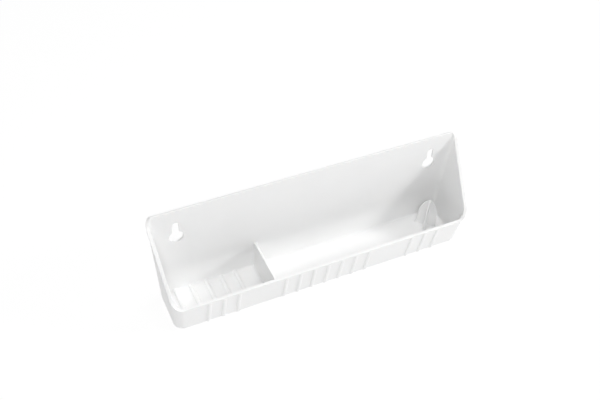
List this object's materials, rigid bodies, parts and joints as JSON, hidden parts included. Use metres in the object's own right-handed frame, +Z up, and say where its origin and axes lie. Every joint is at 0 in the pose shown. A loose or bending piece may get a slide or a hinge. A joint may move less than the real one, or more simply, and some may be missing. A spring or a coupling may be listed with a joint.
{
  "type": "sink-front tip-out tray",
  "caption": "Long white plastic tray that hangs by keyholes behind a sink cabinet's false front, with a ridged soap compartment, a divider and a ring post.",
  "frame": {"origin": "centre of the bounding box's bottom face, on the surface the tray stands on", "axes": "+X along the tray to the ring holder's end, +Y from the low front wall to the flat rear face, +Z up"},
  "size_m": [0.2794, 0.048, 0.095],
  "materials": {
    "tray_plastic": "white moulded polypropylene, satin gloss"
  },
  "bodies": {
    "root": {"tray_body": "tray_plastic", "divider": "tray_plastic", "ring_holder": "tray_plastic"}
  },
  "joints": []
}
